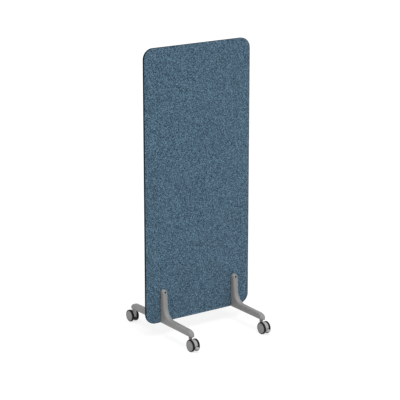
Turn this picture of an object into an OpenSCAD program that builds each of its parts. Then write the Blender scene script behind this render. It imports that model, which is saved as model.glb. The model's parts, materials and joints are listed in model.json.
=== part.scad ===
// Rolling partition: an upholstered panel clamped between two pairs of cast
// legs, each leg on a swivelling twin-wheel caster with a foot brake.
// Millimetres, +Z up. The origin is on the floor under the middle of the
// panel; the panel stands in the XZ plane, its front faces -Y.

/* [Panel] */
// Width of the panel over its edge trim
panel_w = 750; // [600:10:1200]
// Height of the panel over its edge trim
panel_h = 1650; // [1200:10:1800]
// Radius of the panel's corners
corner_r = 64; // [30:1:100]
// Thickness of the core board, and width of the edge trim
core_t = 14; // [12:0.5:25]
// Thickness of the pad on each face of the board
pad_t = 2.2; // [1.5:0.1:6]
// Thickness of the fabric over each pad
fabric_t = 0.8; // [0.4:0.1:1.5]
// Radius of the fabric's rolled edge
roll_r = 2.4; // [1.2:0.1:2.8]
// Distance from the trim's outer face to the fabric's edge
fabric_inset = 1; // [0.5:0.5:4]

/* [Edge trim] */
// Thickness of the trim's band
trim_t = 2; // [1.5:0.5:4]
// Radius along the band's two outer edges
trim_edge_r = 0.8; // [0.4:0.1:1.2]
// Thickness of the trim's rib
rib_t = 2; // [1.5:0.5:4]
// Depth of the rib inside the board
rib_depth = 8; // [5:0.5:12]
// Clearance round the rib in its groove
groove_gap = 0.2; // [0.1:0.05:0.5]

/* [Legs] */
// Distance from the panel's side edge in to the middle of a leg
leg_inset = 116; // [70:1:160]
// Width of a leg
leg_w = 33; // [28:1:40]
// Height of a leg above the panel's lower edge
leg_h = 207; // [170:1:280]
// Depth of the upright just under its domed top
upright_d = 29.5; // [26:0.5:38]
// Depth of the upright's front line where it meets the arm's top line
knee_d = 42.5; // [39:0.5:55]
// Height of the arm's top line at that place
arm_root_h = 38.5; // [34:0.5:50]
// Height of the arm where its rounded end begins
arm_end_h = 35.5; // [28:0.5:42]
// Fall of the arm's underside from the panel to its end
arm_fall = 3.5; // [0:0.5:8]
// Radius of the hollow between upright and arm
knee_r = 68; // [30:1:90]
// Radius of the upright's top, seen from the side
top_r = 20; // [17:1:24]
// Length of the arm's rounded end
elbow_len = 47; // [30:1:60]
// Distance from the caster's stem to the arm's tip
tip_out = 28.5; // [20:0.5:34]
// Radius of the leg's long outer edges
edge_r = 9.5; // [4:0.5:13]
// Radius of the leg's long inner edges
inner_edge_r = 3; // [1:0.5:6]
// Wall of the casting round its hollows
wall = 6; // [4:0.5:7]
// Thickness of the ribs across the hollow arm
web = 4; // [3:0.5:6]
// Distance from the middle of the panel to the caster's stem
reach = 295; // [240:1:360]
// Radius of the boss under the arm's end
boss_r = 11; // [9:0.5:13]
// Height of the panel's lower edge above the caster's seat
boss_h = 6; // [5:0.5:12]

/* [Clamp screws] */
// Radius of the screw's shank
shank_r = 3; // [2.5:0.5:4]
// Radius of the head of the screw and of the nut
head_r = 6; // [4.5:0.5:6.5]
// Height of the screw's head
head_h = 6; // [4:0.5:8]
// Size of the hexagon socket across its flats
socket_af = 5; // [4:0.5:6]
// Radius of the nut's barrel
barrel_r = 4; // [4:0.5:5]
// Distance from the leg's top to the upper screw
screw_drop = 15.5; // [15:0.5:30]
// Distance from the leg's underside to the lower screw
low_screw_up = 18; // [15:0.5:22]
// Depth of the upper screw's head below the leg's front
screw_sink = 4.5; // [2:0.5:12]

/* [Casters] */
// Diameter of the wheels
wheel_d = 73; // [68:1:85]
// Width of one wheel
wheel_w = 14; // [12:0.5:18]
// Gap between the two wheels
wheel_gap = 21; // [19:0.5:24]
// Thickness of the tyre
tyre_t = 5; // [4:0.5:8]
// Radius of the tyre's shoulders
shoulder_r = 3.5; // [1:0.5:4]
// Distance from the swivel axis to the wheels' axle
trail = 27; // [20:1:30]
// Height of the caster above the top of its wheels
caster_rise = 9; // [7:0.5:14]
// Radius of the axle
axle_r = 4; // [3:0.5:5]
// Radius of the stem above the swivel
stem_r = 5; // [4.5:0.5:6]
// Radius of the stem inside the swivel
pivot_r = 3.5; // [3:0.5:4]
// Radius of the collar on the stem
collar_r = 11; // [9:0.5:12]
// Thickness of the collar
collar_t = 3; // [2:0.5:4]
// Distance from the tyres' tread in to the hood between the wheels
hood_in = 2.5; // [1:0.5:4]
// Thickness of the hood
hood_t = 3.5; // [2.5:0.5:5]
// Angle by which the hood reaches down below the axle
hood_down = 46; // [30:1:60]
// Thickness of the web inside the hood
web_w = 6; // [5:0.5:8]

/* [Foot brakes] */
// Length of the pedal beyond the wheels
pedal_out = 20; // [14:0.5:26]
// Radius of the pedal's two corners
pedal_r = 6; // [3:0.5:7]
// Thickness of the pedal
pedal_t = 4.5; // [3:0.5:6]
// Thickness of each cheek of the brake lever
cheek_t = 3; // [2:0.5:4]
// Radius of the brake pin
pin_r = 1.5; // [1:0.25:2]
// Distance from the hood's outer face in to the brake pin
pin_in = 13; // [11:0.5:15]
// Distance from the axle down to the brake pin
pin_drop = 2; // [0:0.5:4]
// Angle by which the pedal goes down
brake_travel = 12; // [6:1:15]

/* [Clearances] */
// Running clearance between a shaft and its bore
run_gap = 0.05; // [0.02:0.01:0.1]
// Side clearance between moving pieces
side_gap = 0.3; // [0.2:0.05:0.6]

/* [Hidden] */
$fn = 96;
over = 1;

cover_t = pad_t + fabric_t;
panel_t = core_t + 2 * cover_t;
face_y = panel_t / 2;

wheel_r = wheel_d / 2;
mount_z = wheel_d + caster_rise;
under_z = mount_z + boss_h;
panel_z = under_z;
panel_mid_z = panel_z + panel_h / 2;
leg_x = panel_w / 2 - leg_inset;
top_z = under_z + leg_h;
screw_z = top_z - screw_drop;
low_screw_z = under_z + low_screw_up;
seat_t = upright_d - head_h - screw_sink;
low_seat_t = wall;

// Largest corner radii of a leg's section, as shares of its width and depth
outer_share = [0.48, 0.6];
inner_share = [0.2, 0.3];
// Angles at which the dome starts and the elbow ends, just short of a point
dome_from = 9;
elbow_to = 83;
dome_steps = 9;
knee_steps = 5;
elbow_steps = 10;
nose_len = 20;
arm_bay_count = 4;

// Points of the leg's outline, as [distance from mid-panel, height]
tip_y = reach + tip_out;
elbow_y = tip_y - elbow_len;
knee_p = [face_y + knee_d, under_z + arm_root_h];
upright_dir = unit([face_y + upright_d, top_z - top_r] - knee_p);
arm_dir = unit([elbow_y, arm_under(elbow_y) + arm_end_h] - knee_p);

barrel_gap = 0.1;
head_gap = 0.5;
sleeve_wall = 1.2;
hole_r = barrel_r + barrel_gap;
recess_r = head_r + head_gap;
sleeve_r = hole_r + sleeve_wall;
nut_flange_t = 3;
nut_barrel_l = 9;
socket_depth = 3.5;
thread_l = 8;

socket_wall = 2;
socket_l = 22;
stem_tip = 1;
housing_w = wheel_gap - 2 * side_gap;
housing_top_z = mount_z - collar_t - side_gap;
neck_r = housing_w / 2 - side_gap;
pivot_z = wheel_r + axle_r;
hood_r = wheel_r - hood_in;
axle_boss_t = 4;
axle_boss_r = axle_r + axle_boss_t;
axle_depth = 8;
hub_r = wheel_r - tyre_t;
hub_rim = 3;
hub_boss_t = 5;
hub_boss_r = axle_r + hub_boss_t;
hub_face_t = 4;
hub_crown = 1;

// Points of the brake in side view, measured from the axle
pin_p = [hood_r - pin_in, -pin_drop];
pedal_y = hood_r + 1;
pedal_tip_y = wheel_r + pedal_out;
pedal_w = housing_w - 2 * side_gap;
pedal_fall = 0.7 * pedal_t;
cheek_overlap = 2;
eye_t = 3;
eye_r = pin_r + eye_t;

// Angle by which the web stops short of the hood's lower end
web_rest = 3;

// The hood's opening for the pedal, as angles at the axle
slot_high = 4;
slot_rest = 10;
slot_low = -(slot_rest + brake_travel);

CORNERS = ["front_left", "front_right", "back_left", "back_right"];
SIDES = ["l", "r"];

fabric_colour = [0.31, 0.41, 0.48];
trim_colour = [0.12, 0.12, 0.125];
board_colour = [0.72, 0.62, 0.48];
cast_colour = [0.56, 0.56, 0.56];
hub_colour = [0.52, 0.52, 0.52];
steel_colour = [0.7, 0.7, 0.72];
dark_colour = [0.25, 0.25, 0.26];
tyre_colour = [0.08, 0.08, 0.08];

function unit(v) = v / norm(v);
function mix(a, b, t) = a + (b - a) * t;
// The same angle between 0 and 360 degrees
function wrapped(a) = a < 0 ? a + 360 : a;

// Centre of a fillet of radius r between the lines p + d1 and p + d2
function fillet_centre(p, d1, d2, r) = p + unit(d1 + d2) * r / sin(acos(d1 * d2) / 2);
// Point where a line p + d comes closest to a centre
function foot(p, d, c) = p + d * ((c - p) * d);
function angle_of(v) = atan2(v[1], v[0]);

// ---- the panel ----

module rounded_rect(w, h, r) {
    square([w - 2 * r, h], center = true);
    square([w, h - 2 * r], center = true);
    for (x = [-1, 1], y = [-1, 1])
        translate([x * (w / 2 - r), y * (h / 2 - r)])
            circle(r);
}

// Outline of the panel, drawn in by an inset
module panel_outline(inset) {
    translate([0, panel_mid_z])
        rounded_rect(panel_w - 2 * inset, panel_h - 2 * inset, corner_r - inset);
}

// Stands a flat outline, drawn with x across and y up, on edge from y_from
module standing(y_from, thickness) {
    translate([0, y_from + thickness, 0])
        rotate([90, 0, 0])
            linear_extrude(thickness)
                children();
}

// Sweeps a profile round the inset outline of the panel. In the profile, x is
// the distance outward from that outline and y the distance along +Y.
module round_panel(inset) {
    r = corner_r - inset;
    mid = [panel_w / 2 - corner_r, panel_h / 2 - corner_r];
    translate([0, 0, panel_mid_z])
        rotate([90, 0, 0])
            mirror([0, 0, 1])
                for (turn = [0 : 3]) {
                    across = mid[turn % 2];
                    along = mid[(turn + 1) % 2];
                    rotate([0, 0, 90 * turn]) {
                        translate([across + r, along, 0])
                            rotate([90, 0, 0])
                                linear_extrude(2 * along)
                                    children();
                        translate([across, along, 0])
                            rotate_extrude(angle = 90)
                                translate([r, 0])
                                    children();
                    }
                }
}

// Round holes across the panel at every clamp screw
module screw_holes(r, y_from, length) {
    for (x = [-leg_x, leg_x], z = [screw_z, low_screw_z])
        translate([x, y_from, z])
            rotate([-90, 0, 0])
                cylinder(r = r, h = length);
}

module core_board() {
    color(board_colour)
        difference() {
            standing(-core_t / 2, core_t) panel_outline(trim_t);
            standing(-rib_t / 2 - groove_gap, rib_t + 2 * groove_gap)
                difference() {
                    panel_outline(trim_t - over);
                    panel_outline(trim_t + rib_depth + groove_gap);
                }
            screw_holes(sleeve_r, -core_t / 2 - over, core_t + 2 * over);
        }
}

module trim_profile() {
    band_y = core_t / 2 - trim_edge_r;
    translate([-trim_t, -core_t / 2])
        square([trim_t - trim_edge_r, core_t]);
    translate([-trim_t, -band_y])
        square([trim_t, 2 * band_y]);
    for (y = [-band_y, band_y])
        translate([-trim_edge_r, y])
            circle(trim_edge_r);
    translate([-trim_t - rib_depth, -rib_t / 2])
        square([rib_depth + over, rib_t]);
}

module edge_trim() {
    color(trim_colour)
        round_panel(0) trim_profile();
}

// A flat pad on the back face of the board, its outer edge rolled over
module rolled_plate(inset, thickness, r) {
    standing(core_t / 2, thickness) panel_outline(inset + r);
    round_panel(inset) {
        translate([-r - over, core_t / 2])
            square([r + over, thickness - r]);
        translate([-r, core_t / 2 + thickness - r])
            intersection() {
                circle(r);
                translate([-over, r - thickness]) square([r + over, thickness]);
            }
        translate([-r - over, core_t / 2])
            square([over, thickness]);
    }
}

module pad() {
    color(board_colour)
        difference() {
            rolled_plate(fabric_inset + fabric_t, pad_t, roll_r - fabric_t);
            screw_holes(sleeve_r, 0, face_y + over);
        }
}

module fabric_cover() {
    color(fabric_colour)
        difference() {
            rolled_plate(fabric_inset, cover_t, roll_r);
            rolled_plate(fabric_inset + fabric_t, pad_t, roll_r - fabric_t);
            standing(core_t / 2 - over, over + pad_t / 2)
                panel_outline(fabric_inset + fabric_t);
            screw_holes(sleeve_r, 0, face_y + over);
        }
}

module to_front() {
    mirror([0, 1, 0]) children();
}

// ---- the legs ----

// One ring of the leg's skin: a section of width w between two points of the
// outline, with small corners at its inner end and large ones at its outer end
function leg_ring(inner, outer, w) =
    let (
        depth = norm(outer - inner),
        dir = unit(outer - inner),
        big = min(edge_r, outer_share[0] * w, outer_share[1] * depth),
        small = min(inner_edge_r, inner_share[0] * w, inner_share[1] * depth),
        corners = [
            [w / 2 - small, small, small, -90, 2],
            [w / 2 - big, depth - big, big, 0, 5],
            [-w / 2 + big, depth - big, big, 90, 5],
            [-w / 2 + small, small, small, 180, 2]
        ]
    )
    [
        for (c = corners, i = [0 : c[4]])
            let (
                a = c[3] + 90 * i / c[4],
                s = c[1] + c[2] * sin(a),
                p = inner + dir * s
            )
            [c[0] + c[2] * cos(a), p[0], p[1]]
    ];

// Height of the arm's underside at distance y from mid-panel
function arm_under(y) = under_z - arm_fall * (y - face_y) / (tip_y - face_y);
// Height of the arm's top line at distance y from mid-panel
function arm_top(y) = knee_p[1] + (y - knee_p[0]) * arm_dir[1] / arm_dir[0];
// Depth line of the upright at height z
function upright_out(z) = knee_p[0] + (z - knee_p[1]) * upright_dir[0] / upright_dir[1];

function dome_ring(h) =
    let (
        z = top_z - h,
        half = leg_w / 2,
        w = h < half ? 2 * sqrt(half * half - (half - h) * (half - h)) : leg_w,
        back = h < top_r ? top_r - sqrt(top_r * top_r - (top_r - h) * (top_r - h)) : 0
    )
    leg_ring([face_y, z], [upright_out(z) - back, z], w);

// In the knee the sections radiate from the centre of its hollow. Each runs
// on to the panel's face or to the underside, whichever comes first.
knee_c = fillet_centre(knee_p, upright_dir, arm_dir, knee_r);
knee_from = angle_of(foot(knee_p, upright_dir, knee_c) - knee_c);
knee_mid = angle_of([face_y, under_z] - knee_c);
knee_to = angle_of(foot(knee_p, arm_dir, knee_c) - knee_c);
function knee_ring(a) =
    let (
        dir = [cos(a), sin(a)],
        drop = [-arm_fall, face_y - tip_y],
        run = min(
            (face_y - knee_c[0]) / dir[0],
            (([face_y, under_z] - knee_c) * drop) / (dir * drop)
        )
    )
    leg_ring(knee_c + run * dir, knee_c + knee_r * dir, leg_w);

function elbow_ring(y) =
    let (
        x = (y - elbow_y) / elbow_len,
        drop = arm_end_h * (1 - sqrt(1 - x * x)),
        past = max(0, (y - (tip_y - nose_len)) / nose_len),
        w = leg_w * sqrt(1 - past * past)
    )
    leg_ring([y, arm_under(y)], [y, arm_top(y) - drop], w);

function leg_rings() = [
    for (i = [0 : dome_steps])
        dome_ring(top_r * (1 - cos(mix(dome_from, 90, i / dome_steps)))),
    for (i = [0 : knee_steps])
        knee_ring(mix(wrapped(knee_from), wrapped(knee_mid), i / knee_steps)),
    for (i = [1 : knee_steps])
        knee_ring(mix(wrapped(knee_mid), wrapped(knee_to), i / knee_steps)),
    for (i = [0 : elbow_steps])
        elbow_ring(elbow_y + elbow_len * sin(mix(0, elbow_to, i / elbow_steps)))
];

module leg_skin() {
    rings = leg_rings();
    n = len(rings[0]);
    last = len(rings) - 1;
    polyhedron(
        points = [for (ring = rings) each ring],
        faces = [
            [for (j = [n - 1 : -1 : 0]) j],
            [for (j = [0 : n - 1]) last * n + j],
            for (i = [0 : last - 1], j = [0 : n - 1])
                let (
                    k = (j + 1) % n,
                    a = i * n + j,
                    b = i * n + k,
                    c = (i + 1) * n + k,
                    d = (i + 1) * n + j
                )
                each [[a, b, c], [a, c, d]]
        ]
    );
}

// Extrudes an outline, drawn as [distance from mid-panel, height], along X
module across(w) {
    rotate([90, 0, 90])
        linear_extrude(w, center = true)
            children();
}

// The open bays under the arm, between its ribs
module arm_bays() {
    bay_from = face_y + low_seat_t;
    bay_to = reach - stem_r - socket_wall - wall;
    pitch = (bay_to - bay_from + web) / arm_bay_count;
    across(leg_w - 2 * wall)
        for (i = [0 : arm_bay_count - 1]) {
            y1 = bay_from + i * pitch;
            y2 = y1 + pitch - web;
            polygon([
                [y1, mount_z], [y2, mount_z],
                [y2, arm_top(y2) - wall], [y1, arm_top(y1) - wall]
            ]);
        }
}

// The two cores in the upright's back, on each side of a rib
module upright_cores() {
    z_low = under_z + arm_root_h + wall;
    z_high = screw_z - recess_r - wall;
    z_mid = (z_low + z_high) / 2;
    across(leg_w - 2 * wall)
        for (span = [[z_low, z_mid - web / 2], [z_mid + web / 2, z_high]])
            polygon([
                [face_y - over, span[0]], [upright_out(span[0]) - wall, span[0]],
                [upright_out(span[1]) - wall, span[1]], [face_y - over, span[1]]
            ]);
}

module leg() {
    seat_y = face_y + seat_t;
    color(cast_colour)
        difference() {
            union() {
                leg_skin();
                translate([0, reach, mount_z])
                    cylinder(r = boss_r, h = boss_h + over);
            }
            arm_bays();
            upright_cores();
            for (z = [screw_z, low_screw_z])
                translate([0, face_y - over, z])
                    rotate([-90, 0, 0])
                        cylinder(r = hole_r, h = seat_t + 2 * over);
            translate([0, seat_y, screw_z])
                rotate([-90, 0, 0])
                    cylinder(r = recess_r, h = knee_d);
            translate([0, reach, mount_z - over])
                cylinder(r = stem_r + socket_wall, h = socket_l + over);
        }
}

// ---- the clamp ----

// A tube along Y
module tube_y(y_from, length, r, bore) {
    translate([0, y_from, 0])
        rotate([-90, 0, 0])
            difference() {
                cylinder(r = r, h = length);
                translate([0, 0, -over])
                    cylinder(r = bore, h = length + 2 * over);
            }
}

module hex_socket(depth) {
    translate([0, 0, -over])
        rotate([0, 0, 30])
            cylinder(d = socket_af / cos(30), h = depth + over, $fn = 6);
}

// Cap screw whose head seats at distance seat_y in front of mid-panel
module clamp_screw(seat_y) {
    translate([0, -seat_y - head_h, 0])
        rotate([-90, 0, 0])
            difference() {
                union() {
                    cylinder(r = head_r, h = head_h);
                    cylinder(r = shank_r, h = head_h + 2 * seat_y - nut_barrel_l + thread_l);
                }
                hex_socket(socket_depth);
            }
}

// Nut with a barrel and a flange that seats at distance seat_y behind mid-panel
module sleeve_nut(seat_y) {
    translate([0, seat_y + nut_flange_t, 0])
        rotate([90, 0, 0])
            difference() {
                union() {
                    cylinder(r = head_r, h = nut_flange_t);
                    cylinder(r = barrel_r, h = nut_flange_t + nut_barrel_l);
                }
                hex_socket(nut_flange_t - over);
                translate([0, 0, nut_flange_t])
                    cylinder(r = shank_r + run_gap, h = nut_barrel_l + over);
            }
}

module panel_sleeves() {
    color(steel_colour)
        for (x = [-leg_x, leg_x], z = [screw_z, low_screw_z])
            translate([x, 0, z])
                tube_y(-face_y, panel_t, sleeve_r, hole_r);
}

module clamp_screws() {
    color(dark_colour)
        for (x = [-leg_x, leg_x]) {
            translate([x, 0, screw_z]) clamp_screw(face_y + seat_t);
            translate([x, 0, low_screw_z]) clamp_screw(face_y + low_seat_t);
        }
}

module sleeve_nuts() {
    color(dark_colour)
        for (x = [-leg_x, leg_x]) {
            translate([x, 0, screw_z]) sleeve_nut(face_y + seat_t);
            translate([x, 0, low_screw_z]) sleeve_nut(face_y + low_seat_t);
        }
}

// ---- the casters: drawn with the stem on the Z axis and the axle at +Y ----

module caster_socket() {
    color(dark_colour)
        translate([0, 0, mount_z])
            difference() {
                cylinder(r = stem_r + socket_wall, h = socket_l);
                translate([0, 0, -over])
                    cylinder(r = stem_r, h = socket_l - socket_wall + over);
            }
}

module caster_stem() {
    shaft_z = mount_z - collar_t;
    shaft_top_z = mount_z + socket_l - socket_wall - 2 * stem_tip;
    color(steel_colour) {
        translate([0, 0, shaft_z])
            cylinder(r = stem_r, h = shaft_top_z - shaft_z);
        translate([0, 0, shaft_top_z])
            cylinder(r1 = stem_r, r2 = stem_r - stem_tip, h = stem_tip);
        translate([0, 0, pivot_z + run_gap])
            cylinder(r = pivot_r, h = shaft_z - pivot_z);
    }
}

module caster_collar() {
    color(dark_colour)
        translate([0, 0, mount_z - collar_t])
            difference() {
                cylinder(r = collar_r, h = collar_t);
                translate([0, 0, -over])
                    cylinder(r = stem_r, h = collar_t + 2 * over);
            }
}

// Moves a cylinder onto the axle's line, at a place p seen from the side
module on_axle(p = [0, 0]) {
    translate([0, trail + p[0], wheel_r + p[1]])
        rotate([0, 90, 0])
            children();
}

// Extrudes a side view, drawn round the axle, to a width w
module beside_axle(w) {
    across(w)
        translate([trail, wheel_r])
            children();
}

// Part of a disc between two angles
module sector(r, from, to) {
    steps = 4;
    intersection() {
        circle(r);
        polygon([
            [0, 0],
            for (i = [0 : steps])
                let (a = mix(from, to, i / steps))
                2 * r * [cos(a), sin(a)]
        ]);
    }
}

// The hood over the gap between the wheels, open where the pedal comes out
module hood_outline() {
    stem_side = 90 + asin(min(1, trail / hood_r));
    difference() {
        union() {
            sector(hood_r, slot_high, stem_side);
            sector(hood_r, -hood_down, slot_low);
        }
        circle(hood_r - hood_t);
    }
}

// The web that ties neck, axle and hood together
module web_outline() {
    neck_top = housing_top_z - wheel_r;
    sector(hood_r - hood_t + over, web_rest - hood_down, 90);
    polygon([
        [-trail, 0], [0, -axle_boss_r], [over, 0],
        [over, hood_r - hood_t], [-trail, min(neck_top, hood_r - hood_t)]
    ]);
}

module caster_housing() {
    shoulder_z = wheel_d + side_gap;
    color(cast_colour)
        difference() {
            union() {
                beside_axle(housing_w) hood_outline();
                beside_axle(web_w) web_outline();
                on_axle() cylinder(r = axle_boss_r, h = housing_w, center = true);
                translate([0, 0, wheel_r])
                    cylinder(r = neck_r, h = housing_top_z - wheel_r);
                translate([0, 0, shoulder_z])
                    cylinder(r = collar_r, h = housing_top_z - shoulder_z);
            }
            translate([0, 0, pivot_z])
                cylinder(r = pivot_r + run_gap, h = mount_z);
            on_axle() cylinder(r = axle_r, h = housing_w + 2 * over, center = true);
            on_axle(pin_p) cylinder(r = pin_r, h = housing_w + 2 * over, center = true);
        }
}

module caster_axle() {
    color(steel_colour)
        on_axle() cylinder(r = axle_r, h = wheel_gap + 2 * axle_depth, center = true);
}

// A wheel's own frame: its axis along Z, its inner face at z = 0
module at_wheel(side) {
    translate([0, trail, wheel_r])
        rotate([0, side * 90, 0])
            translate([0, 0, wheel_gap / 2])
                children();
}

module wheel_hub() {
    hollow_r = hub_r - hub_rim;
    color(hub_colour)
        rotate_extrude()
            difference() {
                polygon([
                    [0, 0], [hub_r, 0], [hub_r, wheel_w - hub_crown],
                    [hollow_r, wheel_w], [0, wheel_w]
                ]);
                translate([0, -over])
                    square([axle_r + run_gap, axle_depth + side_gap + over]);
                translate([hub_boss_r, -over])
                    square([hollow_r - hub_boss_r, wheel_w - hub_face_t + over]);
            }
}

module wheel_tyre() {
    color(tyre_colour)
        rotate_extrude() {
            translate([hub_r, 0])
                square([tyre_t - shoulder_r, wheel_w]);
            translate([hub_r, shoulder_r])
                square([tyre_t, wheel_w - 2 * shoulder_r]);
            for (z = [shoulder_r, wheel_w - shoulder_r])
                translate([wheel_r - shoulder_r, z])
                    circle(shoulder_r);
        }
}

// Side view of the pedal: its upper face falls towards its rounded tip
module pedal_outline() {
    tip_r = pedal_t / 2;
    top = pin_p[1];
    tip = [pedal_tip_y - tip_r, top - pedal_fall - tip_r];
    polygon([
        [pedal_y, top], [tip[0], top - pedal_fall],
        [tip[0], tip[1] - tip_r], [pedal_y, top - pedal_t]
    ]);
    translate(tip) circle(tip_r);
}

// The pedal, with its side view cut to rounded corners in plan
module pedal() {
    corner_x = pedal_w / 2 - pedal_r;
    corner_y = trail + pedal_tip_y - pedal_r;
    intersection() {
        beside_axle(pedal_w) pedal_outline();
        linear_extrude(wheel_d) {
            translate([-pedal_w / 2, 0]) square([pedal_w, corner_y]);
            translate([-corner_x, 0]) square([2 * corner_x, corner_y + pedal_r]);
            for (x = [-corner_x, corner_x])
                translate([x, corner_y]) circle(pedal_r);
        }
    }
}

// The brake lever: two cheeks beside the web, joined by the pedal
module brake_lever() {
    cheek_x = web_w / 2 + side_gap;
    join_y = pedal_y + cheek_overlap;
    color(cast_colour)
        difference() {
            union() {
                pedal();
                for (x = [-cheek_x - cheek_t / 2, cheek_x + cheek_t / 2])
                    translate([x, 0, 0])
                        beside_axle(cheek_t) {
                            translate(pin_p) circle(eye_r);
                            polygon([
                                pin_p + [0, eye_r], [join_y, pin_p[1]],
                                [join_y, pin_p[1] - pedal_t], pin_p - [0, eye_r]
                            ]);
                        }
            }
            on_axle(pin_p) cylinder(r = pin_r + run_gap, h = housing_w, center = true);
        }
}

module brake_pin() {
    pin_l = web_w + 2 * (side_gap + cheek_t) + 2 * side_gap;
    color(steel_colour)
        on_axle(pin_p) cylinder(r = pin_r, h = pin_l, center = true);
}

// ---- the whole ----

function is_front(corner) = corner == "front_left" || corner == "front_right";
function is_left(corner) = corner == "front_left" || corner == "back_left";

// Puts a leg or caster, drawn over the origin for the back, at its corner
module at_leg(corner) {
    translate([is_left(corner) ? -leg_x : leg_x, 0, 0])
        mirror([0, is_front(corner) ? 1 : 0, 0])
            children();
}

module at_caster(corner) {
    at_leg(corner) translate([0, reach, 0]) children();
}

core_board();
edge_trim();
to_front() pad();  // front_pad
pad();  // back_pad
to_front() fabric_cover();  // front_fabric
fabric_cover();  // back_fabric
panel_sleeves();
clamp_screws();
sleeve_nuts();
for (corner = CORNERS) {
    at_leg(corner) leg();
    at_caster(corner) caster_socket();
    at_caster(corner) caster_stem();
    at_caster(corner) caster_collar();
    at_caster(corner) caster_housing();
    at_caster(corner) caster_axle();
    at_caster(corner) brake_lever();
    at_caster(corner) brake_pin();
    for (side = SIDES) {
        turn = side == "l" ? -1 : 1;
        at_caster(corner) at_wheel(turn) wheel_hub();
        at_caster(corner) at_wheel(turn) wheel_tyre();
    }
}
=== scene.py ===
"""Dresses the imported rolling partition: fabric covers, smooth cast legs, wheels,
procedural materials, a pale studio and the photograph's camera. Metres."""

import json
import math

import bmesh
import bpy
from mathutils import Matrix, Vector


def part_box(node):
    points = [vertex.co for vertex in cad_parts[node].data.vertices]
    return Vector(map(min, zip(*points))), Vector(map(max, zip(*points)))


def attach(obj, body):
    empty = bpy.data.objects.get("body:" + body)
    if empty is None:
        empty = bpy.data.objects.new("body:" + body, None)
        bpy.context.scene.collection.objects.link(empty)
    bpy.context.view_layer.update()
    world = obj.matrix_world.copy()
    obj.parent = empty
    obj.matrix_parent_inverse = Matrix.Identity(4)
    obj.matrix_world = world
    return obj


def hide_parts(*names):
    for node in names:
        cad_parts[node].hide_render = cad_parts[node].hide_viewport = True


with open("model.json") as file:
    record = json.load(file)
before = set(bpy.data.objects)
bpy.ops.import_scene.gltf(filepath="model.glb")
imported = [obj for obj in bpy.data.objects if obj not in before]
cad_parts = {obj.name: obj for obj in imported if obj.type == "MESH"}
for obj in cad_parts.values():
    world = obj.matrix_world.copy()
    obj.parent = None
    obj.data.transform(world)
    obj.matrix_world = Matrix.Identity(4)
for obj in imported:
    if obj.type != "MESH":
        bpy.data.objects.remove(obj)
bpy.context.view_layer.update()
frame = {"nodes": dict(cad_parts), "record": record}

MM = 0.001
CORNERS = ("front_left", "front_right", "back_left", "back_right")
SIDES = ("l", "r")

# ---- sizes read from the frame ----

trim_lo, trim_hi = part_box("edge_trim")
board_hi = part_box("core_board")[1]
cover_lo, cover_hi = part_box("back_fabric")
leg_lo, leg_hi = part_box("back_left_leg")
tyre_lo, tyre_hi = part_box("back_left_tyre_l")
hub_lo, hub_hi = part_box("back_left_hub_l")
socket_lo, socket_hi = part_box("back_left_socket")
axle_lo, axle_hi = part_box("back_left_axle")
barrel_lo, barrel_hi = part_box("sleeve_nuts")

PANEL_MID_Z = (trim_lo.z + trim_hi.z) / 2
BOARD_Y = board_hi.y
FACE_Y = cover_hi.y
COVER_W = cover_hi.x - cover_lo.x
COVER_H = cover_hi.z - cover_lo.z
COVER_T = FACE_Y - BOARD_Y
FABRIC_T = 0.8 * MM
ROLL_R = 2.4 * MM
CORNER_R = 63 * MM

LEG_X = -(leg_lo.x + leg_hi.x) / 2
LEG_W = leg_hi.x - leg_lo.x
LEG_H = 207 * MM
UNDER_Z = trim_lo.z
TOP_Z = UNDER_Z + LEG_H
TIP_Y = FACE_Y + 313.5 * MM
REACH = (socket_lo.y + socket_hi.y) / 2
MOUNT_Z = socket_lo.z
SOCKET_R = (socket_hi.x - socket_lo.x) / 2
SOCKET_TOP_Z = socket_hi.z

AXLE_Y = (tyre_lo.y + tyre_hi.y) / 2
WHEEL_R = (tyre_hi.z - tyre_lo.z) / 2
WHEEL_W = tyre_hi.x - tyre_lo.x
WHEEL_IN = -LEG_X - tyre_hi.x
HUB_R = (hub_hi.z - hub_lo.z) / 2
AXLE_R = (axle_hi.z - axle_lo.z) / 2
AXLE_END = (axle_hi.x - axle_lo.x) / 2

# ---- the leg's outline, seen from the side ----

KNEE_D = 42.5 * MM
UPRIGHT_D = 29.5 * MM
ARM_ROOT_H = 38.5 * MM
ARM_END_H = 35.5 * MM
ARM_FALL = 3.5 * MM
KNEE_R = 68 * MM
TOP_R = 20 * MM
ELBOW_LEN = 47 * MM
NOSE_LEN = 20 * MM
EDGE_R = 9.5 * MM
INNER_EDGE_R = 3 * MM
# Largest corner radii of a section, as shares of its width and depth
OUTER_SHARE = (0.48, 0.6)
INNER_SHARE = (0.2, 0.3)
WALL = 6 * MM
WEB = 4 * MM
BAYS = 4
BOSS_R = 11 * MM
SEAT_T = 19 * MM
HOLE_R = 4.1 * MM
RECESS_R = 6.5 * MM
SCREW_Z = TOP_Z - 15.5 * MM
LOW_SCREW_Z = UNDER_Z + 18 * MM
OVER = 1 * MM

# ---- fineness of the curves ----

CORNER_STEPS = 24
ROLL_STEPS = 10
EDGE_STEPS = 12
INNER_EDGE_STEPS = 4
DOME_STEPS = 20
KNEE_STEPS = 12
ELBOW_STEPS = 24
SHOULDER_STEPS = 12
CROWN_STEPS = 12
# Angles at which the dome starts and the elbow ends, just short of a point
DOME_FROM = 5
ELBOW_TO = 85


def mix(a, b, t):
    return a + (b - a) * t


def arc(centre, r, a0, a1, steps):
    """Points on an arc, in degrees, as (x, y)."""
    angles = [math.radians(mix(a0, a1, i / steps)) for i in range(steps + 1)]
    return [(centre[0] + r * math.cos(a), centre[1] + r * math.sin(a)) for a in angles]


# ---- mesh helpers ----


def new_object(name, mesh):
    obj = bpy.data.objects.new(name, mesh)
    bpy.context.scene.collection.objects.link(obj)
    return obj


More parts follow.
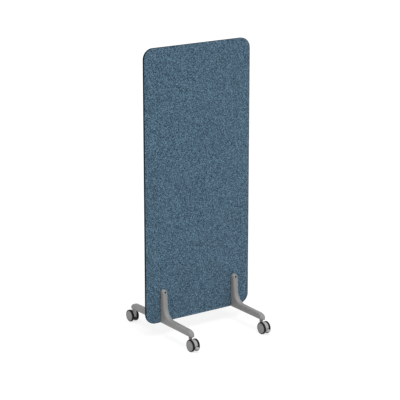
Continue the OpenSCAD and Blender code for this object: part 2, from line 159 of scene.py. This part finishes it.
def mesh_of(name, verts, faces):
    mesh = bpy.data.meshes.new(name)
    mesh.from_pydata([tuple(v) for v in verts], [], faces)
    mesh.validate()
    outward(mesh)
    return mesh


def outward(mesh):
    """Turns every face outward."""
    bm = bmesh.new()
    bm.from_mesh(mesh)
    bmesh.ops.recalc_face_normals(bm, faces=bm.faces)
    bm.to_mesh(mesh)
    bm.free()


def smooth(mesh, degrees=32):
    """Shades smoothly, and keeps the edges sharper than an angle."""
    limit = math.radians(degrees)
    bm = bmesh.new()
    bm.from_mesh(mesh)
    for face in bm.faces:
        face.smooth = True
    for edge in bm.edges:
        edge.smooth = len(edge.link_faces) == 2 and edge.calc_face_angle() < limit
    bm.to_mesh(mesh)
    bm.free()


def bridged(name, rings, capped=True):
    """A skin over closed rings that all have the same number of points."""
    n = len(rings[0])
    verts = [p for ring in rings for p in ring]
    faces = []
    for i in range(len(rings) - 1):
        for j in range(n):
            k = (j + 1) % n
            faces.append((i * n + j, i * n + k, (i + 1) * n + k, (i + 1) * n + j))
    if capped:
        faces.append(tuple(range(n)))
        faces.append(tuple(range((len(rings) - 1) * n, len(rings) * n)))
    return mesh_of(name, verts, faces)


def lathe(name, profile, segments=120):
    """Turns a closed profile of (radius, z) points about the Z axis."""
    rings = []
    for i in range(segments):
        a = 2 * math.pi * i / segments
        rings.append([(r * math.cos(a), r * math.sin(a), z) for r, z in profile])
    rings.append(rings[0])
    mesh = bridged(name, rings, capped=False)
    bm = bmesh.new()
    bm.from_mesh(mesh)
    bmesh.ops.remove_doubles(bm, verts=bm.verts, dist=1e-6)
    bm.to_mesh(mesh)
    bm.free()
    outward(mesh)
    smooth(mesh)
    return mesh


def prism(outline, width):
    """An outline in the YZ plane, extruded across the leg."""
    rings = [[(x, y, z) for y, z in outline] for x in (-width / 2, width / 2)]
    return bridged("cutter", rings)


def rod(start, end, r, segments=64):
    """A round bar between two points."""
    start, end = Vector(start), Vector(end)
    turn = (end - start).to_track_quat("Z", "Y").to_matrix()
    rings = []
    for p in (start, end):
        ring = []
        for i in range(segments):
            a = 2 * math.pi * i / segments
            ring.append(p + turn @ Vector((r * math.cos(a), r * math.sin(a), 0)))
        rings.append(ring)
    return bridged("cutter", rings)


def combined(mesh, others, operation):
    """The mesh with the others joined to it or cut out of it."""
    obj = new_object("work", mesh)
    tools = [new_object("tool", other) for other in others]
    for tool in tools:
        modifier = obj.modifiers.new("cut", "BOOLEAN")
        modifier.operation = operation
        modifier.solver = "EXACT"
        modifier.object = tool
    depsgraph = bpy.context.evaluated_depsgraph_get()
    result = bpy.data.meshes.new_from_object(obj.evaluated_get(depsgraph))
    for o in [obj, *tools]:
        bpy.data.objects.remove(o)
    return result


def to_front(mesh):
    """The mesh mirrored to the panel's front."""
    copy = mesh.copy()
    copy.transform(Matrix.Diagonal((1, -1, 1, 1)))
    copy.flip_normals()
    return copy


# ---- materials ----


class Nodes:
    """A material's node tree, with short calls for the nodes used here."""

    def __init__(self, name, roughness, **constants):
        self.material = bpy.data.materials.new(name)
        self.material.use_nodes = True
        self.tree = self.material.node_tree
        self.shader = self.tree.nodes["Principled BSDF"]
        self.shader.inputs["Roughness"].default_value = roughness
        for key, value in constants.items():
            self.shader.inputs[key.replace("_", " ")].default_value = value
        self.place = self.add("ShaderNodeTexCoord").outputs["Object"]

    def add(self, kind, **settings):
        node = self.tree.nodes.new(kind)
        for key, value in settings.items():
            setattr(node, key, value)
        return node

    def link(self, source, target):
        self.tree.links.new(source, target)

    def stretched(self, scale):
        node = self.add("ShaderNodeMapping")
        node.inputs["Scale"].default_value = scale
        self.link(self.place, node.inputs["Vector"])
        return node.outputs["Vector"]

    def noise(self, scale, detail=2.0, rough=0.5):
        """Noise with cells of 1 / scale metres: one scale, or one for each axis."""
        if isinstance(scale, (int, float)):
            scale = (scale, scale, scale)
        node = self.add("ShaderNodeTexNoise")
        node.inputs["Scale"].default_value = 1.0
        node.inputs["Detail"].default_value = detail
        node.inputs["Roughness"].default_value = rough
        self.link(self.stretched(scale), node.inputs["Vector"])
        return node.outputs["Fac"]

    def threads(self, pitch, axis):
        """A row of round threads of that pitch, side by side along an axis."""
        node = self.add("ShaderNodeTexWave", bands_direction=axis, wave_profile="SIN")
        node.inputs["Scale"].default_value = math.pi / 10 / pitch
        self.link(self.place, node.inputs["Vector"])
        return node.outputs["Fac"]

    def math(self, operation, a, b):
        node = self.add("ShaderNodeMath", operation=operation)
        for socket, value in zip(node.inputs, (a, b)):
            if isinstance(value, (int, float)):
                socket.default_value = value
            else:
                self.link(value, socket)
        return node.outputs[0]

    def ramp(self, fac, stops):
        node = self.add("ShaderNodeValToRGB")
        elements = node.color_ramp.elements
        while len(elements) < len(stops):
            elements.new(0.5)
        for element, (position, colour) in zip(elements, stops):
            element.position = position
            element.color = (*colour, 1.0)
        self.link(fac, node.inputs["Fac"])
        return node.outputs["Color"]

    def spread(self, fac, low, high):
        """Maps a factor from 0..1 to low..high."""
        node = self.add("ShaderNodeMapRange")
        node.inputs["To Min"].default_value = low
        node.inputs["To Max"].default_value = high
        self.link(fac, node.inputs["Value"])
        return node.outputs["Result"]

    def colour(self, socket):
        self.link(socket, self.shader.inputs["Base Color"])

    def roughness(self, socket):
        self.link(socket, self.shader.inputs["Roughness"])

    def bump(self, height, depth, edge=None):
        """Raises the surface by depth metres, over edges rounded to a radius."""
        node = self.add("ShaderNodeBump")
        node.inputs["Distance"].default_value = depth
        self.link(height, node.inputs["Height"])
        if edge:
            bevel = self.add("ShaderNodeBevel", samples=6)
            bevel.inputs["Radius"].default_value = edge
            self.link(bevel.outputs["Normal"], node.inputs["Normal"])
        self.link(node.outputs["Normal"], self.shader.inputs["Normal"])


def linear(r, g, b):
    """A colour from 0 to 255 as linear light."""
    scaled = [c / 255 for c in (r, g, b)]
    return tuple(c / 12.92 if c < 0.04045 else ((c + 0.055) / 1.055) ** 2.4 for c in scaled)


def shade(colour, factor):
    return tuple(c * factor for c in colour)


def fabric_material():
    """A plain weave of mottled yarn: each thread changes tone along its length."""
    m = Nodes("fabric_weave", 0.92, Sheen_Weight=0.12, Sheen_Roughness=0.5, Specular_IOR_Level=0.2)
    pitch = 1.3 * MM
    yarn_w = 2.2 * MM
    tone_l = 9 * MM
    blotch_d = 2.8 * MM
    warp = m.noise((1 / yarn_w, 1 / pitch, 1 / tone_l), detail=1)
    weft = m.noise((1 / tone_l, 1 / pitch, 1 / yarn_w), detail=1)
    blotch = m.noise(1 / blotch_d, detail=1)
    yarn = m.math("ADD", m.math("MULTIPLY", warp, 0.5), m.math("MULTIPLY", weft, 0.5))
    tone = m.math("ADD", m.math("MULTIPLY", yarn, 0.4), m.math("MULTIPLY", blotch, 0.6))
    m.colour(m.ramp(tone, [
        (0.42, linear(15, 33, 49)),
        (0.48, linear(49, 77, 97)),
        (0.52, linear(70, 100, 121)),
        (0.58, linear(120, 155, 178)),
    ]))
    weave = m.math("ADD", m.threads(pitch, "X"), m.threads(pitch, "Z"))
    m.bump(m.math("ADD", m.math("MULTIPLY", weave, 0.4), tone), 0.5 * MM)
    return m.material


def felt_material():
    m = Nodes("pad_felt", 0.95, Specular_IOR_Level=0.15)
    fibres = m.noise(900, detail=6, rough=0.7)
    grey = linear(168, 162, 152)
    m.colour(m.ramp(fibres, [(0.35, shade(grey, 0.6)), (0.65, grey)]))
    m.bump(fibres, 0.4 * MM)
    return m.material


def board_material():
    """Raw particle board: chips of several browns."""
    m = Nodes("core_board", 0.85)
    chips = m.noise((420, 160, 420), detail=5, rough=0.7)
    m.colour(m.ramp(chips, [
        (0.35, linear(122, 94, 62)),
        (0.5, linear(176, 144, 102)),
        (0.65, linear(205, 178, 136)),
    ]))
    m.bump(chips, 0.3 * MM)
    return m.material


def plastic_material(name, colour, roughness, grain=1.0, edge=0.35, shine=0.4):
    """Moulded plastic: a fine spark-eroded grain, and a faint cloud of handling."""
    m = Nodes(name, roughness, Specular_IOR_Level=shine)
    fine = m.noise(1600, detail=2)
    cloud = m.noise(28, detail=4, rough=0.6)
    m.colour(m.ramp(cloud, [(0.3, shade(colour, 0.93)), (0.7, shade(colour, 1.05))]))
    m.roughness(m.spread(cloud, roughness - 0.07, roughness + 0.07))
    m.bump(fine, 0.05 * grain * MM, edge * MM)
    return m.material


def coat_material():
    """Grey powder coat: orange peel, fine speckle, and a little dust in the cloud."""
    m = Nodes("powder_coat", 0.5, Specular_IOR_Level=0.45)
    peel = m.noise(620, detail=3, rough=0.55)
    speckle = m.noise(2600, detail=1)
    cloud = m.noise(22, detail=4, rough=0.6)
    grey = linear(139, 138, 137)
    tone = m.math("ADD", m.math("MULTIPLY", cloud, 0.6), m.math("MULTIPLY", speckle, 0.4))
    m.colour(m.ramp(tone, [(0.3, shade(grey, 0.9)), (0.7, shade(grey, 1.08))]))
    m.roughness(m.spread(peel, 0.42, 0.6))
    m.bump(peel, 0.12 * MM, 0.5 * MM)
    return m.material


def tyre_material():
    """Black rubber with a dusty, scuffed skin."""
    m = Nodes("tyre_rubber", 0.72, Specular_IOR_Level=0.25)
    scuff = m.noise(260, detail=6, rough=0.7)
    m.colour(m.ramp(scuff, [
        (0.35, linear(8, 8, 9)),
        (0.6, linear(14, 14, 15)),
        (0.75, linear(30, 29, 28)),
    ]))
    m.roughness(m.spread(scuff, 0.6, 0.88))
    m.bump(scuff, 0.12 * MM)
    return m.material


def metal_material(name, colour, roughness, lines=(60, 60, 3000)):
    """Plated or blackened steel with fine turning marks."""
    m = Nodes(name, roughness, Metallic=1.0)
    marks = m.noise(lines, detail=3)
    stain = m.noise(90, detail=4)
    m.colour(m.ramp(stain, [(0.3, shade(colour, 0.85)), (0.7, colour)]))
    m.roughness(m.spread(marks, roughness - 0.08, roughness + 0.12))
    m.bump(marks, 0.02 * MM, 0.25 * MM)
    return m.material


MATERIALS = {
    "core_board": board_material(),
    "edge_trim": plastic_material("trim_extrusion", linear(20, 21, 22), 0.8, grain=0.8, edge=0.5,
                                  shine=0.1),
    "pad": felt_material(),
    "fabric": fabric_material(),
    "sleeve": metal_material("zinc_sleeve", linear(198, 200, 204), 0.35),
    "screw": metal_material("black_oxide", linear(26, 26, 28), 0.5),
    "leg": coat_material(),
    "socket": plastic_material("socket_black", linear(42, 42, 44), 0.5),
    "stem": metal_material("zinc_stem", linear(190, 192, 197), 0.3),
    "collar": plastic_material("collar_dark", linear(48, 47, 47), 0.5),
    "housing": plastic_material("housing_grey", linear(162, 161, 160), 0.5),
    "brake": plastic_material("brake_grey", linear(176, 175, 175), 0.48),
    "hub": plastic_material("hub_grey", linear(141, 140, 139), 0.46),
    "tyre": tyre_material(),
}


def finish_piece(obj, slot, body, *nodes):
    """Gives a piece its material, and ties it to the frame."""
    obj.data.materials.clear()
    obj.data.materials.append(MATERIALS[slot])
    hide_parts(*nodes)
    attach(obj, body)


def dress_cad_nodes():
    for part in frame["record"]["subparts"]:
        obj = frame["nodes"][part["node"]]
        obj.data.materials.clear()
        obj.data.materials.append(MATERIALS[part["material_slot"]])


# ---- the panel ----


def rounded_rect(w, h, r, y):
    """One ring of a panel layer: a rounded rectangle in the XZ plane."""
    ring = []
    for turn, (sx, sz) in enumerate(((1, 1), (-1, 1), (-1, -1), (1, -1))):
        centre = (sx * (w / 2 - r), PANEL_MID_Z + sz * (h / 2 - r))
        for x, z in arc(centre, r, 90 * turn, 90 * turn + 90, CORNER_STEPS):
            ring.append((x, y, z))
    return ring


def layer_rings(inset, thickness, roll, inner_y):
    """Rings from a layer's outer edge at the board, round its roll, to its face."""
    profile = [(0.0, inner_y), (0.0, inner_y + thickness - roll)]
    profile += arc((roll, inner_y + thickness - roll), roll, 180, 90, ROLL_STEPS)[1:]
    rings = []
    for u, y in profile:
        d = inset + u
        rings.append(rounded_rect(COVER_W - 2 * d, COVER_H - 2 * d, CORNER_R - d, y))
    return rings


def fabric_cover(name, node, front):
    """The stretched cloth, with its rolled edge, as a thin shell."""
    rings = layer_rings(0.0, COVER_T, ROLL_R, BOARD_Y)
    n = len(rings[0])
    verts = [p for ring in rings for p in ring]
    faces = [
        (i * n + j, i * n + (j + 1) % n, (i + 1) * n + (j + 1) % n, (i + 1) * n + j)
        for i in range(len(rings) - 1)
        for j in range(n)
    ]
    faces.append(tuple(range((len(rings) - 1) * n, len(rings) * n)))
    mesh = mesh_of(name, verts, faces)
    if mesh.polygons[-1].normal.y < 0:
        mesh.flip_normals()
    smooth(mesh, 60)
    obj = new_object(name, to_front(mesh) if front else mesh)
    shell = obj.modifiers.new("cloth", "SOLIDIFY")
    shell.thickness = FABRIC_T
    shell.offset = -1
    finish_piece(obj, "fabric", "frame", node)


def felt_pad(name, node, front):
    """The pad that the cloth is stretched over."""
    rings = layer_rings(FABRIC_T, COVER_T - FABRIC_T, ROLL_R - FABRIC_T, BOARD_Y)
    mesh = bridged(name, rings)
    smooth(mesh, 60)
    obj = new_object(name, to_front(mesh) if front else mesh)
    finish_piece(obj, "pad", "frame", node)


# ---- the legs ----


def unit(v):
    return v / v.length


def fillet_centre(p, d1, d2, r):
    """Centre of a fillet of radius r between the lines p + d1 and p + d2."""
    return p + unit(d1 + d2) * r / math.sin(math.acos(d1.dot(d2)) / 2)


def foot(p, d, c):
    """Point where a line p + d comes closest to a centre."""
    return p + d * (c - p).dot(d)


def arm_under(y):
    return UNDER_Z - ARM_FALL * (y - FACE_Y) / (TIP_Y - FACE_Y)


ELBOW_Y = TIP_Y - ELBOW_LEN
KNEE_P = Vector((FACE_Y + KNEE_D, UNDER_Z + ARM_ROOT_H))
UPRIGHT_DIR = unit(Vector((FACE_Y + UPRIGHT_D, TOP_Z - TOP_R)) - KNEE_P)
ARM_DIR = unit(Vector((ELBOW_Y, arm_under(ELBOW_Y) + ARM_END_H)) - KNEE_P)
KNEE_C = fillet_centre(KNEE_P, UPRIGHT_DIR, ARM_DIR, KNEE_R)


def arm_top(y):
    return KNEE_P.y + (y - KNEE_P.x) * ARM_DIR.y / ARM_DIR.x


def upright_out(z):
    return KNEE_P.x + (z - KNEE_P.y) * UPRIGHT_DIR.x / UPRIGHT_DIR.y


def leg_ring(inner, outer, w):
    """A section between two points of the outline, small corners at its inner end."""
    depth = (outer - inner).length
    way = unit(outer - inner)
    big = min(EDGE_R, OUTER_SHARE[0] * w, OUTER_SHARE[1] * depth)
    small = min(INNER_EDGE_R, INNER_SHARE[0] * w, INNER_SHARE[1] * depth)
    half = w / 2
    points = arc((half - small, small), small, -90, 0, INNER_EDGE_STEPS)
    points += arc((half - big, depth - big), big, 0, 90, EDGE_STEPS)
    points += arc((-half + big, depth - big), big, 90, 180, EDGE_STEPS)
    points += arc((-half + small, small), small, 180, 270, INNER_EDGE_STEPS)
    return [(x, inner.x + way.x * s, inner.y + way.y * s) for x, s in points]


def dome_ring(h):
    z = TOP_Z - h
    half = LEG_W / 2
    w = 2 * math.sqrt(half**2 - (half - h) ** 2) if h < half else LEG_W
    back = TOP_R - math.sqrt(TOP_R**2 - (TOP_R - h) ** 2) if h < TOP_R else 0.0
    return leg_ring(Vector((FACE_Y, z)), Vector((upright_out(z) - back, z)), w)


def knee_ring(a):
    """A section that radiates from the centre of the knee's hollow."""
    way = Vector((math.cos(a), math.sin(a)))
    drop = Vector((-ARM_FALL, FACE_Y - TIP_Y))
    to_face = (FACE_Y - KNEE_C.x) / way.x
    to_under = (Vector((FACE_Y, UNDER_Z)) - KNEE_C).dot(drop) / way.dot(drop)
    runs = [run for run in (to_face, to_under) if run > 0]
    return leg_ring(KNEE_C + min(runs) * way, KNEE_C + KNEE_R * way, LEG_W)


def elbow_ring(y):
    x = (y - ELBOW_Y) / ELBOW_LEN
    drop = ARM_END_H * (1 - math.sqrt(1 - x * x))
    past = max(0.0, (y - (TIP_Y - NOSE_LEN)) / NOSE_LEN)
    w = LEG_W * math.sqrt(1 - past * past)
    return leg_ring(Vector((y, arm_under(y))), Vector((y, arm_top(y) - drop)), w)


def angle_of(v):
    return math.atan2(v.y, v.x) % (2 * math.pi)


def leg_skin():
    knee_from = angle_of(foot(KNEE_P, UPRIGHT_DIR, KNEE_C) - KNEE_C)
    knee_mid = angle_of(Vector((FACE_Y, UNDER_Z)) - KNEE_C)
    knee_to = angle_of(foot(KNEE_P, ARM_DIR, KNEE_C) - KNEE_C)
    rings = []
    for i in range(DOME_STEPS + 1):
        a = math.radians(mix(DOME_FROM, 90, i / DOME_STEPS))
        rings.append(dome_ring(TOP_R * (1 - math.cos(a))))
    for i in range(KNEE_STEPS + 1):
        rings.append(knee_ring(mix(knee_from, knee_mid, i / KNEE_STEPS)))
    for i in range(1, KNEE_STEPS + 1):
        rings.append(knee_ring(mix(knee_mid, knee_to, i / KNEE_STEPS)))
    for i in range(ELBOW_STEPS + 1):
        a = math.radians(mix(0, ELBOW_TO, i / ELBOW_STEPS))
        rings.append(elbow_ring(ELBOW_Y + ELBOW_LEN * math.sin(a)))
    return bridged("leg", rings)


def bay_cutters():
    """The open bays under the arm, between its ribs."""
    bay_from = FACE_Y + WALL
    bay_to = REACH - SOCKET_R - WALL
    pitch = (bay_to - bay_from + WEB) / BAYS
    cutters = []
    for i in range(BAYS):
        y1 = bay_from + i * pitch
        y2 = y1 + pitch - WEB
        low = MOUNT_Z - OVER
        outline = [(y1, low), (y2, low), (y2, arm_top(y2) - WALL), (y1, arm_top(y1) - WALL)]
        cutters.append(prism(outline, LEG_W - 2 * WALL))
    return cutters


def core_cutters():
    """The two cores in the upright's back."""
    z_low = UNDER_Z + ARM_ROOT_H + WALL
    z_high = SCREW_Z - RECESS_R - WALL
    z_mid = (z_low + z_high) / 2
    cutters = []
    for a, b in ((z_low, z_mid - WEB / 2), (z_mid + WEB / 2, z_high)):
        outline = [(FACE_Y - OVER, a), (upright_out(a) - WALL, a),
                   (upright_out(b) - WALL, b), (FACE_Y - OVER, b)]
        cutters.append(prism(outline, LEG_W - 2 * WALL))
    return cutters


def leg_mesh():
    """The casting for the back, over x = 0, hollowed and drilled."""
    boss = rod((0, REACH, MOUNT_Z), (0, REACH, UNDER_Z + OVER), BOSS_R)
    body = combined(leg_skin(), [boss], "UNION")
    cutters = bay_cutters() + core_cutters()
    for z in (SCREW_Z, LOW_SCREW_Z):
        cutters.append(rod((0, FACE_Y - OVER, z), (0, FACE_Y + SEAT_T + OVER, z), HOLE_R))
    seat_y = FACE_Y + SEAT_T
    cutters.append(rod((0, seat_y, SCREW_Z), (0, seat_y + KNEE_D, SCREW_Z), RECESS_R))
    cutters.append(rod((0, REACH, MOUNT_Z - OVER), (0, REACH, SOCKET_TOP_Z), SOCKET_R))
    mesh = combined(body, cutters, "DIFFERENCE")
    smooth(mesh, 30)
    return mesh


def add_legs():
    back = leg_mesh()
    front = to_front(back)
    for corner in CORNERS:
        mesh = (front if "front" in corner else back).copy()
        mesh.transform(Matrix.Translation((-LEG_X if "left" in corner else LEG_X, 0, 0)))
        obj = new_object(f"{corner}_casting", mesh)
        finish_piece(obj, "leg", "frame", f"{corner}_leg")


# ---- the wheels ----


def tyre_profile():
    """Tread with a fine moulding line, round shoulders, and a bead at the hub."""
    r = 3.5 * MM
    line = 0.25 * MM
    mid = WHEEL_W / 2
    bead_r = HUB_R + 0.8 * MM
    groove_r = HUB_R + 1.1 * MM
    side_r = HUB_R + 1.5 * MM
    groove = 0.3 * MM
    profile = [(HUB_R, 0.0), (bead_r, 0.0), (groove_r, groove), (side_r, 0.0)]
    profile += arc((WHEEL_R - r, r), r, -90, 0, SHOULDER_STEPS)
    profile += [(WHEEL_R, mid - line), (WHEEL_R - line, mid), (WHEEL_R, mid + line)]
    profile += arc((WHEEL_R - r, WHEEL_W - r), r, 0, 90, SHOULDER_STEPS)
    profile += [(side_r, WHEEL_W), (groove_r, WHEEL_W - groove), (bead_r, WHEEL_W), (HUB_R, WHEEL_W)]
    return profile


def hub_profile():
    """Crowned face with a seam round its cap, hollow behind, bored for the axle."""
    rim = 3 * MM
    face_t = 4 * MM
    crown = 1 * MM
    boss_r = AXLE_R + 5 * MM
    hollow_r = HUB_R - rim
    bore_r = AXLE_R + 0.05 * MM
    bore_end = AXLE_END - WHEEL_IN + 0.3 * MM
    seam_r = HUB_R - 2.2 * MM
    seam = 0.35 * MM
    shares = [i / CROWN_STEPS for i in range(CROWN_STEPS + 1)]
    face = [(HUB_R - HUB_R * u, WHEEL_W - crown * (1 - u) ** 3) for u in shares]
    face = [p for p in face if p[0] < seam_r - seam]
    edge_z = WHEEL_W - crown
    profile = [(bore_r, 0.0), (boss_r, 0.0), (boss_r, WHEEL_W - face_t)]
    profile += [(hollow_r, WHEEL_W - face_t), (hollow_r, 0.0), (HUB_R, 0.0), (HUB_R, edge_z)]
    profile += [(seam_r + seam, edge_z + 0.2 * MM), (seam_r, edge_z - 0.4 * MM)]
    profile += [(seam_r - seam, edge_z + 0.3 * MM), *face]
    profile += [(0.0, bore_end), (bore_r, bore_end)]
    return profile


def add_wheels():
    tyre = lathe("tyre", tyre_profile())
    hub = lathe("hub", hub_profile())
    for corner in CORNERS:
        x = -LEG_X if "left" in corner else LEG_X
        y = -AXLE_Y if "front" in corner else AXLE_Y
        for side, turn in (("l", -1), ("r", 1)):
            place = Matrix.Translation((x, y, WHEEL_R))
            place @= Matrix.Rotation(turn * math.pi / 2, 4, "Y")
            place @= Matrix.Translation((0, 0, WHEEL_IN))
            for kind, mesh in (("tyre", tyre), ("hub", hub)):
                obj = new_object(f"{corner}_{kind}_{side}_turned", mesh)
                obj.matrix_world = place
                finish_piece(obj, kind, f"{corner}_wheel_{side}", f"{corner}_{kind}_{side}")


# ---- studio and camera ----

WORLD_LIGHT = 0.66
SUN_LIGHT = 1.6
SUN_SPREAD = 40
SUN_FROM = Vector((-0.12, -0.33, 0.94))
FLOOR_PAINT = (0.8, 0.8, 0.8, 1)
FLOOR_GLOW = 1.2
FLOOR_GLOW_SHARE = 0.64
FLOOR_HALF = 30

CAMERA_AT = Vector((-5.273, -7.450, 3.306))
CAMERA_YAW = 35.385
CAMERA_PITCH = 15.369
CAMERA_PIXELS = 1597.2
IMAGE_PIXELS = 400


def seen_directly(nodes, links):
    """1 for rays from the camera, a mirror or glass, else 0."""
    path = nodes.new("ShaderNodeLightPath")
    total = path.outputs["Is Camera Ray"]
    for name in ("Is Glossy Ray", "Is Transmission Ray"):
        node = nodes.new("ShaderNodeMath")
        node.operation = "MAXIMUM"
        links.new(total, node.inputs[0])
        links.new(path.outputs[name], node.inputs[1])
        total = node.outputs[0]
    return total


def add_world():
    world = bpy.data.worlds.new("studio")
    bpy.context.scene.world = world
    world.use_nodes = True
    nodes, links = world.node_tree.nodes, world.node_tree.links
    white = nodes["Background"]
    white.inputs["Color"].default_value = (1, 1, 1, 1)
    soft = nodes.new("ShaderNodeBackground")
    soft.inputs["Color"].default_value = (1, 1, 1, 1)
    soft.inputs["Strength"].default_value = WORLD_LIGHT
    choice = nodes.new("ShaderNodeMixShader")
    links.new(seen_directly(nodes, links), choice.inputs["Fac"])
    links.new(soft.outputs[0], choice.inputs[1])
    links.new(white.outputs[0], choice.inputs[2])
    links.new(choice.outputs[0], nodes["World Output"].inputs["Surface"])


def add_floor():
    """A pale floor that reads as white and still shows the contact shadows."""
    material = bpy.data.materials.new("floor")
    material.use_nodes = True
    nodes, links = material.node_tree.nodes, material.node_tree.links
    nodes.remove(nodes["Principled BSDF"])
    paint = nodes.new("ShaderNodeBsdfDiffuse")
    paint.inputs["Color"].default_value = FLOOR_PAINT
    glow = nodes.new("ShaderNodeEmission")
    glow.inputs["Strength"].default_value = FLOOR_GLOW
    share = nodes.new("ShaderNodeMath")
    share.operation = "MULTIPLY"
    share.inputs[1].default_value = FLOOR_GLOW_SHARE
    choice = nodes.new("ShaderNodeMixShader")
    links.new(seen_directly(nodes, links), share.inputs[0])
    links.new(share.outputs[0], choice.inputs["Fac"])
    links.new(paint.outputs[0], choice.inputs[1])
    links.new(glow.outputs[0], choice.inputs[2])
    links.new(choice.outputs[0], nodes["Material Output"].inputs["Surface"])
    corners = [(x * FLOOR_HALF, y * FLOOR_HALF, 0) for x, y in ((-1, -1), (1, -1), (1, 1), (-1, 1))]
    mesh = mesh_of("floor", corners, [(0, 1, 2, 3)])
    mesh.materials.append(material)
    new_object("floor", mesh)


def add_lamp():
    lamp = bpy.data.lights.new("key", "SUN")
    lamp.energy = SUN_LIGHT
    lamp.angle = math.radians(SUN_SPREAD)
    obj = bpy.data.objects.new("key", lamp)
    bpy.context.scene.collection.objects.link(obj)
    obj.rotation_euler = SUN_FROM.to_track_quat("Z", "Y").to_euler()


def add_camera():
    data = bpy.data.cameras.new("camera")
    data.sensor_width = 36
    data.lens = CAMERA_PIXELS / IMAGE_PIXELS * data.sensor_width
    obj = bpy.data.objects.new("camera", data)
    bpy.context.scene.collection.objects.link(obj)
    obj.location = CAMERA_AT
    obj.rotation_euler = (math.radians(90 - CAMERA_PITCH), 0, math.radians(-CAMERA_YAW))
    bpy.context.scene.camera = obj


def plain_colours():
    bpy.context.scene.view_settings.view_transform = "Standard"


dress_cad_nodes()
felt_pad("front_pad_felt", "front_pad", True)
felt_pad("back_pad_felt", "back_pad", False)
fabric_cover("front_cloth", "front_fabric", True)
fabric_cover("back_cloth", "back_fabric", False)
add_legs()
add_wheels()
add_world()
add_floor()
add_lamp()
add_camera()
plain_colours()
